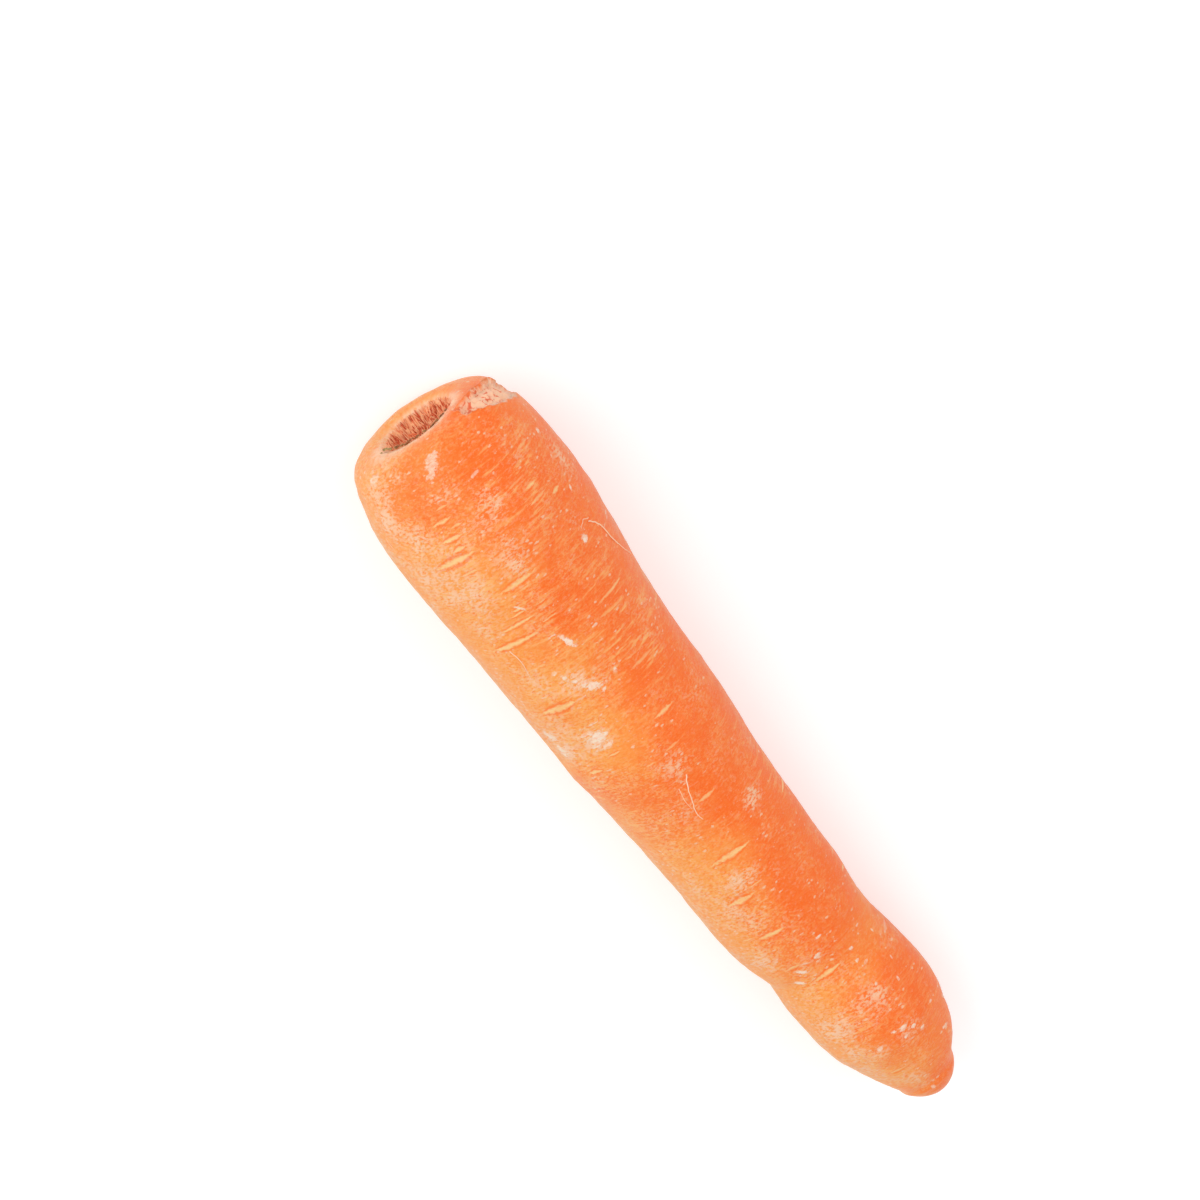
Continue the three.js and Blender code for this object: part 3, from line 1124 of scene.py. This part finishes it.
def grain_group():
    """Node group: grain of two sizes, and its height for a bump."""
    group, given, result = new_group("Grain", "Vector", ["Fine", "Coarse"], ["Grain", "Height"])
    fine = {"Vector": given["Vector"], "Scale": given["Fine"], "Detail": 3.0, "Roughness": 0.7}
    coarse = {"Vector": given["Vector"], "Scale": given["Coarse"], "Detail": 3.0, "Roughness": 0.6}
    small = add_node(group, "ShaderNodeTexNoise", fine).outputs["Fac"]
    large = add_node(group, "ShaderNodeTexNoise", coarse).outputs["Fac"]
    both = math_node(group, "MULTIPLY_ADD", small, 0.6, product(group, large, 0.4))
    group.links.new(ramp(group, both, 0.42, 0.68), result["Grain"])
    group.links.new(both, result["Height"])
    return group


def use_group(tree, group, values):
    """The outputs of a node group placed in a material."""
    return add_node(tree, "ShaderNodeGroup", values, node_tree=group).outputs


def colour(value):
    """A colour property's value with full alpha."""
    return (*value, 1.0)


def new_material(name, sockets=None):
    """A material, its node tree and the inputs of its shader, which may be given plain values."""
    material = bpy.data.materials.new(name)
    material.use_nodes = True
    inputs = material.node_tree.nodes["Principled BSDF"].inputs
    for socket, value in (sockets or {}).items():
        inputs[socket].default_value = value
    return material, material.node_tree, inputs


def link_surface(tree, inputs, base, rough, height, strength, depth):
    """Links a colour, a roughness and a bump to a shader. The bump's depth is in millimetres."""
    values = {"Height": height, "Strength": strength, "Distance": depth * MM}
    bump = add_node(tree, "ShaderNodeBump", values)
    tree.links.new(base, inputs["Base Color"])
    tree.links.new(rough, inputs["Roughness"])
    tree.links.new(bump.outputs["Normal"], inputs["Normal"])


class SkinPattern:
    """The patterns that several of the skin's colours and its bump share: streaks across the root,
    stipple, the places where dried skin is thicker, and grain of two sizes."""

    def __init__(self, tree):
        self.place = add_node(tree, "ShaderNodeTexCoord").outputs["Object"]
        squeezed = self.squeezed(tree, STREAK_SQUEEZE)
        self.flattened = self.squeezed(tree, STIPPLE_SQUEEZE)
        self.tone = attribute(tree, "tone")
        self.streak = noise(tree, squeezed, STREAK, 4, 0.7)
        self.stipple = noise(tree, self.flattened, STIPPLE, 2, 0.6)
        self.patchy = noise(tree, self.place, FILM, 3, 0.6)
        sizes = {"Fine": 1 / (FINE_GRAIN * MM), "Coarse": 1 / (COARSE_GRAIN * MM)}
        self.grain = use_group(tree, grain_group(), {"Vector": self.place, **sizes})

    def squeezed(self, tree, share):
        """Places for a pattern that changes by only a share as fast round the root as along it."""
        values = {"Vector": self.place, "Scale": (1.0, share, share)}
        return add_node(tree, "ShaderNodeMapping", values).outputs[0]


def orange_skin(tree, pattern, finish):
    """The plain skin's colour: two oranges that drift, with pale streaks across the root, pale grain,
    and pale stipple with redder gaps. The oranges, the grain and the stipple follow the tone, which is
    partly painted light: yellower and paler on the -Y side, towards the key lamp. The redder gaps are
    painted shade round the pale dots."""
    deep, pale = colour(finish.deep_orange), colour(finish.grain_orange)
    broad = noise(tree, pattern.place, DRIFT, 3, 0.55)
    shade = math_node(tree, "ADD", pattern.tone, ramp(tree, broad, 0.3, 0.7, -0.3, 0.3))
    base = mix_colour(tree, ramp(tree, shade, 0.1, 1.0), deep, colour(finish.light_orange))

    elsewhere = ramp(tree, noise(tree, pattern.place, STREAK_PATCH, 2), 0.4, 0.7, 0.05, 0.35)
    streaky = math_node(tree, "ADD", attribute(tree, "streaked"), elsewhere)
    base = mix_colour(tree, product(tree, ramp(tree, pattern.streak, 0.5, 0.66), streaky), base, pale)

    matt = ramp(tree, pattern.patchy, 0.36, 0.6, 0.35, 1.0)
    matt = product(tree, matt, ramp(tree, attribute(tree, "smooth"), 0.0, 1.0, 1.0, 0.25))
    grainy = ramp(tree, pattern.tone, 0.0, 1.0, 0.3, 0.62)
    base = mix_colour(tree, product(tree, pattern.grain["Grain"], grainy, matt), base, pale)

    dots = ramp(tree, pattern.stipple, 0.5, 0.62)
    dotted = product(tree, dots, ramp(tree, pattern.tone, 0.0, 1.0, 0.25, 0.7), matt)
    base = mix_colour(tree, dotted, base, pale)
    # Painted shade: the redder gaps round the pale stipple stand in for the shadows round raised flakes.
    painted_flake_shade = product(tree, matt, 0.6, ramp(tree, pattern.stipple, 0.45, 0.34))
    return mix_colour(tree, painted_flake_shade, base, deep)


def add_dry_film(tree, pattern, finish, base):
    """The colour with a film of dried skin, which breaks into scales, and flecks, which cluster. The film
    is thicker where the tone is highest, which is partly painted light on the -Y side towards the key
    lamp. Also returns the masks of both."""
    film = ramp(tree, pattern.patchy, 0.42, 0.72, 0.0, 0.42)
    film = math_node(tree, "ADD", film, attribute(tree, "dry"))
    # Painted light in part: more pale film on the -Y flank, where the tone is highest, towards the key
    # lamp.
    film = math_node(tree, "MULTIPLY_ADD", math_node(tree, "POWER", pattern.tone, 3.0), 0.45, film)
    scaly = noise(tree, pattern.flattened, SCALE, 3, 0.7)
    level = math_node(tree, "MULTIPLY_ADD", film, 0.15, scaly)
    dry = product(tree, ramp(tree, level, 0.55, 0.66), ramp(tree, film, 0.1, 1.2, 0.2, 1.0))
    base = mix_colour(tree, dry, base, colour(finish.dry_skin))

    clusters = ramp(tree, noise(tree, pattern.place, FLECK_CLUSTER, 2), 0.38, 0.7, -0.06, 0.32)
    amount = math_node(tree, "MULTIPLY_ADD", film, 0.27, clusters)
    flecks = {"Vector": pattern.flattened, "Scale": 1 / (FLECK * MM), "Amount": amount}
    fleck = use_group(tree, fleck_group(), flecks)["Mask"]
    base = mix_colour(tree, product(tree, fleck, 0.75), base, colour(finish.dry_skin))
    return base, dry, fleck


def add_marks(tree, pattern, finish, base):
    """The colour with breathing scars, each with a redder line round it and lined along its length,
    and scuffs, which look brushed across the root. Also returns the scuffs' mask."""
    wobble = noise(tree, pattern.place, WOBBLE, 3, 0.65)
    group = spindle_group()
    outlines, spindles = 0.0, 0.0
    for layer in LAYERS:
        place = attribute(tree, "spindle_" + layer, "Vector")
        values = {"Place": place, "Wobble": wobble, "Softness": 0.95}
        mark = use_group(tree, group, values)
        outlines = highest(tree, mark["Outline"], outlines)
        spindles = highest(tree, mark["Mask"], spindles)
    base = mix_colour(tree, product(tree, outlines, 0.7), base, colour(finish.deep_orange))
    lined = product(tree, spindles, ramp(tree, pattern.streak, 0.35, 0.6, 0.6, 1.0))
    base = mix_colour(tree, lined, base, colour(finish.spindle))

    brushed = product(tree, math_node(tree, "SUBTRACT", pattern.streak, 0.5), 1.1)
    ragged = math_node(tree, "ADD", noise(tree, pattern.place, RAGGED, 3, 0.8), brushed)
    group = blot_group()
    scuff = 0.0
    for layer in LAYERS:
        place = attribute(tree, "scuff_" + layer, "Vector")
        values = {"Place": place, "Noise": ragged, "Raggedness": 1.9}
        scuff = highest(tree, use_group(tree, group, values)["Mask"], scuff)
    rubbed = product(tree, scuff, ramp(tree, pattern.stipple, 0.36, 0.54, 0.75, 1.0))
    rubbed = product(tree, rubbed, ramp(tree, pattern.streak, 0.36, 0.54, 0.35, 1.0))
    return mix_colour(tree, rubbed, base, colour(finish.scuff)), scuff


def add_crown(tree, pattern, finish, base):
    """The colour with the torn flesh, its pits and its dried edge, the crater's crumbly rim and the
    streaks of its floor. Also returns the masks of the torn place and of the crater."""
    torn = attribute(tree, "torn")
    pits = noise(tree, pattern.place, PIT, 4, 0.6, 0.6)
    flesh = mix_colour(tree, ramp(tree, pits, 0.38, 0.46), colour(finish.torn_pit), colour(finish.torn))
    flesh = mix_colour(tree, attribute(tree, "torn_edge"), flesh, colour(finish.torn_edge))
    base = mix_colour(tree, product(tree, torn, 0.92), base, flesh)

    crumbly = noise(tree, pattern.place, CRUMBLE, 4, 0.7)
    spoke = attribute(tree, "spoke", "Vector")  # in millimetres, not in metres
    spoke = noise(tree, spoke, SPOKE / MM, 3, 0.6)
    rim = product(tree, attribute(tree, "rim"), ramp(tree, crumbly, 0.35, 0.55, 0.35, 1.0))
    rim = product(tree, rim, ramp(tree, spoke, 0.38, 0.55, 0.65, 1.0))
    base = mix_colour(tree, rim, base, colour(finish.rim))
    crater = attribute(tree, "crater")
    streaks = ramp(tree, spoke, 0.36, 0.6)
    floor = mix_colour(tree, streaks, colour(finish.pith_dark), colour(finish.pith_light))
    return mix_colour(tree, crater, base, floor), torn, crater


def skin_material(finish):
    """Skin: the orange, then the film of dried skin, the marks and the crown laid over it. Scars are
    rougher, and the bump is the sum of the streaks, the grain, the stipple and what stands up."""
    material, tree, inputs = new_material("carrot_skin", SKIN_SHADER)
    pattern = SkinPattern(tree)
    base = orange_skin(tree, pattern, finish)
    base, dry, fleck = add_dry_film(tree, pattern, finish, base)
    base, scuff = add_marks(tree, pattern, finish, base)
    base, torn, crater = add_crown(tree, pattern, finish, base)

    rough = ramp(tree, pattern.grain["Height"], 0.3, 0.7, 0.4, 0.55)
    rough = math_node(tree, "MULTIPLY_ADD", highest(tree, dry, scuff, torn, crater), 0.3, rough)
    height = product(tree, pattern.grain["Height"], 0.9)
    height = math_node(tree, "MULTIPLY_ADD", pattern.streak, 0.9, height)
    for mask, strength in ((pattern.stipple, 0.6), (dry, 0.3), (fleck, 0.35), (scuff, 0.3)):
        height = math_node(tree, "MULTIPLY_ADD", mask, strength, height)
    link_surface(tree, inputs, base, rough, height, BUMP_STRENGTH, BUMP_DEPTH)
    return material


# ---- Building the fibres, crumbs and rootlets ----


def fibre_material(name, dark, light, size):
    """Dry fibres: each has its own shade between two colours, with fine grain of a given size."""
    material, tree, inputs = new_material(name)
    place = add_node(tree, "ShaderNodeTexCoord").outputs["Object"]
    grain = noise(tree, place, size, 3, 0.65)
    shade = math_node(tree, "ADD", attribute(tree, "shade"), ramp(tree, grain, 0.3, 0.7, -0.2, 0.2))
    shaded = mix_colour(tree, ramp(tree, shade, 0.0, 1.0), colour(dark), colour(light))
    rough = ramp(tree, grain, 0.3, 0.7, 0.7, 0.9)
    link_surface(tree, inputs, shaded, rough, grain, DRY_BUMP_STRENGTH, DRY_BUMP_DEPTH)
    return material


def shaded_tubes(name, tube, shade, material):
    """A piece of tubes, each of which has its own shade."""
    points, faces = tube
    piece = new_piece(name, into_box(points), faces, material)
    give_attribute(piece, "shade", np.repeat(shade, len(points) // len(shade)))
    return piece


def build_crown_fibres(shape, finish):
    """Stubs of old stalk fibre that stand in the crater, thick as bristles.

    Each fibre's path goes straight out from the crater's floor and leans a little, more so towards
    its tip, and its width swells and closes as the root of a sine.
    """
    root = Root(shape)
    random = np.random.default_rng(41)
    stations, sides = 6, 5
    each = (FIBRE_COUNT, 1)
    rim = root.size["crater_radius"]
    along = np.linspace(0, 1, stations)
    start = np.sqrt(random.uniform(0.002, 1.08, each)) * rim
    angle = random.uniform(0, 2 * np.pi, each)
    deep = root.crown_at(start)
    tall = np.minimum(deep + FIBRE_OVERTOP, random.uniform(*FIBRE_TALL, each))
    lean = random.normal(FIBRE_LEAN, FIBRE_LEAN_SPREAD, each) * along**FIBRE_BEND
    slant = random.normal(0, FIBRE_LEAN_SPREAD, each) * along**FIBRE_BEND
    side = tall * slant + random.normal(0, FIBRE_WAVER, (FIBRE_COUNT, stations))
    x = deep + FIBRE_ROOT - (tall + FIBRE_ROOT) * along
    paths = root.over_crown(x, start + tall * lean, angle, side)
    sideways = np.broadcast_to((0.0, 1.0, 0.0), paths.shape)
    upward = np.broadcast_to((0.0, 0.0, 1.0), paths.shape)
    swell = np.sqrt(np.sin(np.pi * np.clip(along * 0.82 + 0.14, 0, 1)))
    width = random.uniform(*FIBRE_HALF_WIDTH, each) * swell
    thickness = random.uniform(*FIBRE_HALF_THICKNESS, each) * swell
    paler = 0.6 * smoothstep(start[:, 0], 0.9 * rim, rim)
    shade = smoothstep(random.uniform(0, 1, FIBRE_COUNT), 0.3, 0.75) + paler
    material = fibre_material("crown_fibre", finish.fibre_dark, finish.fibre_light, DRY_GRAIN)
    tube = tubes(paths, sideways, upward, width, thickness, sides)
    return shaded_tubes("crown_fibres", tube, shade, material)


def build_crown_crumbs(shape, finish):
    """Dark crumbs of old stalk on the upper side of the crater's rim, turning to olive on its -Y side:
    short flattened grains, each a path along the rim whose section swells and closes as a sine."""
    root = Root(shape)
    random = np.random.default_rng(61)
    stations, sides = 7, 6
    rim = root.size["crater_radius"]
    around = random.uniform(*CRUMB_AROUND, CRUMB_COUNT)
    half = random.uniform(*CRUMB_HALF_LENGTH, CRUMB_COUNT)
    radius = random.normal(rim + CRUMB_BEYOND, CRUMB_BEYOND_SPREAD, CRUMB_COUNT)
    slant = random.normal(0, 0.5, CRUMB_COUNT)
    step = np.linspace(-1, 1, stations) * half[:, None]
    angle = np.radians(around)[:, None] + step * np.cos(slant)[:, None] / rim
    out = radius[:, None] + step * np.sin(slant)[:, None]
    x = root.crown_at(out) - random.uniform(*CRUMB_STANDING, (CRUMB_COUNT, 1))
    paths = root.over_crown(x, out, angle)
    sideways = np.stack([np.zeros_like(x), np.cos(angle), np.sin(angle)], -1)
    upward = np.broadcast_to((-1.0, 0.0, 0.0), paths.shape)
    swell = np.sin(np.pi * np.linspace(0.12, 0.88, stations))
    width = random.uniform(*CRUMB_HALF_WIDTH, (CRUMB_COUNT, 1)) * swell
    shade = random.uniform(0, 0.45, CRUMB_COUNT) + 0.5 * smoothstep(around, 125, 155)
    material = fibre_material("crown_crumb", finish.crumb_dark, finish.crumb_olive, DRY_GRAIN)
    tube = tubes(paths, sideways, upward, width, 0.8 * width, sides)
    return shaded_tubes("crown_crumbs", tube, shade, material)


def build_rootlets(shape, finish):
    """Hair-fine rootlets that lie on the skin: a smooth path over the surface, partly sunk in it, that
    thins towards its end."""
    root = Root(shape)
    random = np.random.default_rng(51)
    stations, sides = 40, 6
    paths, outs = [], []
    for places in ROOTLETS:
        at, around = spline(places, stations).T
        way = root.way_at(at) + 0.12 * ripple(np.stack([at, around, at], -1), 3, len(paths))
        angle = np.radians(around)
        paths.append(root.points(way, angle, ROOTLET_RISE))
        outs.append(root.points(way, angle, 1 + ROOTLET_RISE) - paths[-1])
    paths, outs = np.array(paths), np.array(outs)
    outs /= np.linalg.norm(outs, axis=-1, keepdims=True)
    sideways = np.cross(np.gradient(paths, axis=1), outs)
    sideways /= np.linalg.norm(sideways, axis=-1, keepdims=True)
    thin = 1 - (1 - ROOTLET_END) * np.linspace(0, 1, stations)
    thin = ROOTLET_HALF_THICKNESS * thin * random.uniform(0.8, 1.2, (len(paths), 1))
    shade = random.uniform(0.3, 1, len(paths))
    material = fibre_material("rootlet", finish.rootlet_dark, finish.rootlet_light, ROOTLET_GRAIN)
    return shaded_tubes("rootlets", tubes(paths, sideways, outs, thin, thin, sides), shade, material)


# ---- The stage ----


def seen_directly(tree):
    """1 for what the camera sees, also in a gloss or through a clear thing, and 0 for what lights the
    carrot."""
    path = add_node(tree, "ShaderNodeLightPath").outputs
    return highest(tree, path["Is Camera Ray"], path["Is Glossy Ray"], path["Is Transmission Ray"])


def build_floor():
    """A wide flat floor, pale to the camera, that keeps the carrot's shadow."""
    half, low = FLOOR_HALF, -FLOOR_DROP * MM
    mesh = bpy.data.meshes.new("floor")
    corners = [(-half, -half, low), (half, -half, low), (half, half, low), (-half, half, low)]
    mesh.from_pydata(corners, [], [(0, 1, 2, 3)])
    material, tree, inputs = new_material("pale_floor", FLOOR_SHADER)
    glow = product(tree, seen_directly(tree), FLOOR_GLOW)
    tree.links.new(glow, inputs["Emission Strength"])
    mesh.materials.append(material)
    floor = bpy.data.objects.new("floor", mesh)
    bpy.context.scene.collection.objects.link(floor)


def build_sky(strength):
    """Even white light from all round, plain white to the camera."""
    world = bpy.data.worlds.new("sky")
    world.use_nodes = True
    tree = world.node_tree
    tree.nodes.clear()
    level = ramp(tree, seen_directly(tree), 0.0, 1.0, strength, 1.0)
    light = add_node(tree, "ShaderNodeBackground", {"Color": (1, 1, 1, 1), "Strength": level})
    out = add_node(tree, "ShaderNodeOutputWorld")
    tree.links.new(light.outputs[0], out.inputs["Surface"])
    bpy.context.scene.world = world


def look_matrix(back, right):
    """The turn of a thing that looks against one direction and has its right side near another: the
    right is made square to the back, and up is square to both."""
    back = np.array(back) / np.linalg.norm(back)
    right = np.array(right) - back * np.dot(back, right)
    right /= np.linalg.norm(right)
    return np.stack([right, np.cross(back, right), back], -1)


def place_thing(name, data, turn, place):
    """A lamp or a camera, turned and put in its place."""
    thing = bpy.data.objects.new(name, data)
    matrix = np.eye(4)
    matrix[:3, :3] = turn
    matrix[:3, 3] = place
    thing.matrix_world = Matrix(matrix.tolist())
    bpy.context.scene.collection.objects.link(thing)
    return thing


def build_lamp(name, power, direction, distance, width):
    """A square soft lamp that faces the carrot from a direction."""
    lamp = bpy.data.lights.new(name, "AREA")
    lamp.size = width
    lamp.energy = power
    turn = look_matrix(direction, LAMP_RIGHT)
    place_thing(name, lamp, turn, turn[:, 2] * distance)


def build_camera(stage):
    """A camera that leans from straight above towards the crown, rolled so that the root runs down
    to the right."""
    tilt, roll = stage.tilt, stage.roll
    lean = np.array([-math.sin(tilt), 0, math.cos(tilt)])
    ahead = np.array([math.cos(tilt), 0, math.sin(tilt)])
    right = math.cos(roll) * ahead + math.sin(roll) * np.array([0, 1, 0])
    aim = np.array([LOW[0] + stage.aim_share * (HIGH[0] - LOW[0]), stage.aim_side, 0])
    data = bpy.data.cameras.new("camera")
    data.lens = stage.lens
    data.sensor_width = SENSOR
    data.clip_end = 20
    place = aim + lean * stage.distance
    bpy.context.scene.camera = place_thing("camera", data, look_matrix(lean, right), place)


# ---- Operators ----


class CARROT_OT_skin(bpy.types.Operator):
    """Build the root's skin with all its marks"""

    bl_idname = "carrot.skin"
    bl_label = "Skin"

    def execute(self, context):
        build_skin(context.scene.carrot_shape, context.scene.carrot_finish)
        return {"FINISHED"}


class CARROT_OT_crown_fibres(bpy.types.Operator):
    """Build the stubs of stalk fibre in the crown's crater"""

    bl_idname = "carrot.crown_fibres"
    bl_label = "Crown fibres"

    def execute(self, context):
        build_crown_fibres(context.scene.carrot_shape, context.scene.carrot_finish)
        return {"FINISHED"}


class CARROT_OT_crown_crumbs(bpy.types.Operator):
    """Build the crumbs of old stalk on the crater's rim"""

    bl_idname = "carrot.crown_crumbs"
    bl_label = "Crown crumbs"

    def execute(self, context):
        build_crown_crumbs(context.scene.carrot_shape, context.scene.carrot_finish)
        return {"FINISHED"}


class CARROT_OT_rootlets(bpy.types.Operator):
    """Build the fine rootlets that lie on the skin"""

    bl_idname = "carrot.rootlets"
    bl_label = "Rootlets"

    def execute(self, context):
        build_rootlets(context.scene.carrot_shape, context.scene.carrot_finish)
        return {"FINISHED"}


class CARROT_OT_stage(bpy.types.Operator):
    """Build the floor, the lamps, the sky and the camera"""

    bl_idname = "carrot.stage"
    bl_label = "Stage"

    def execute(self, context):
        stage = context.scene.carrot_stage
        build_floor()
        build_sky(stage.sky)
        build_lamp("key", stage.key_power, direction=(-0.8, -0.64, 0.9), distance=1.1, width=0.9)
        build_lamp("fill", stage.fill_power, direction=(0.05, 0.95, 0.75), distance=1.2, width=1.0)
        build_camera(stage)
        context.scene.view_settings.view_transform = "Standard"
        return {"FINISHED"}


class CARROT_PT_panel(bpy.types.Panel):
    """Sizes, colours and one button for each piece"""

    bl_label = "Carrot"
    bl_idname = "CARROT_PT_panel"
    bl_space_type = "VIEW_3D"
    bl_region_type = "UI"
    bl_category = "Carrot"

    def draw(self, context):
        for group_name in GROUPS:
            group = getattr(context.scene, group_name)
            box = self.layout.box()
            for name in group.__annotations__:
                box.prop(group, name)
        for operator in OPERATORS:
            self.layout.operator(operator.bl_idname)


GROUPS = {"carrot_shape": CarrotShape, "carrot_finish": CarrotFinish, "carrot_stage": CarrotStage}
OPERATORS = (
    CARROT_OT_skin,
    CARROT_OT_crown_fibres,
    CARROT_OT_crown_crumbs,
    CARROT_OT_rootlets,
    CARROT_OT_stage,
)


def register():
    """Registers the property groups, the operators and the panel."""
    for group in GROUPS.values():
        bpy.utils.register_class(group)
    for name, group in GROUPS.items():
        setattr(bpy.types.Scene, name, bpy.props.PointerProperty(type=group))
    for operator in OPERATORS:
        bpy.utils.register_class(operator)
    bpy.utils.register_class(CARROT_PT_panel)


def unregister():
    """Takes back all that register did, in the opposite order."""
    bpy.utils.unregister_class(CARROT_PT_panel)
    for operator in reversed(OPERATORS):
        bpy.utils.unregister_class(operator)
    for name in GROUPS:
        delattr(bpy.types.Scene, name)
    for group in reversed(list(GROUPS.values())):
        bpy.utils.unregister_class(group)


def main():
    """Builds the pieces and the stage."""
    register()
    bpy.ops.carrot.skin()
    bpy.ops.carrot.crown_fibres()
    bpy.ops.carrot.crown_crumbs()
    bpy.ops.carrot.rootlets()
    bpy.ops.carrot.stage()


if __name__ == "__main__":
    main()
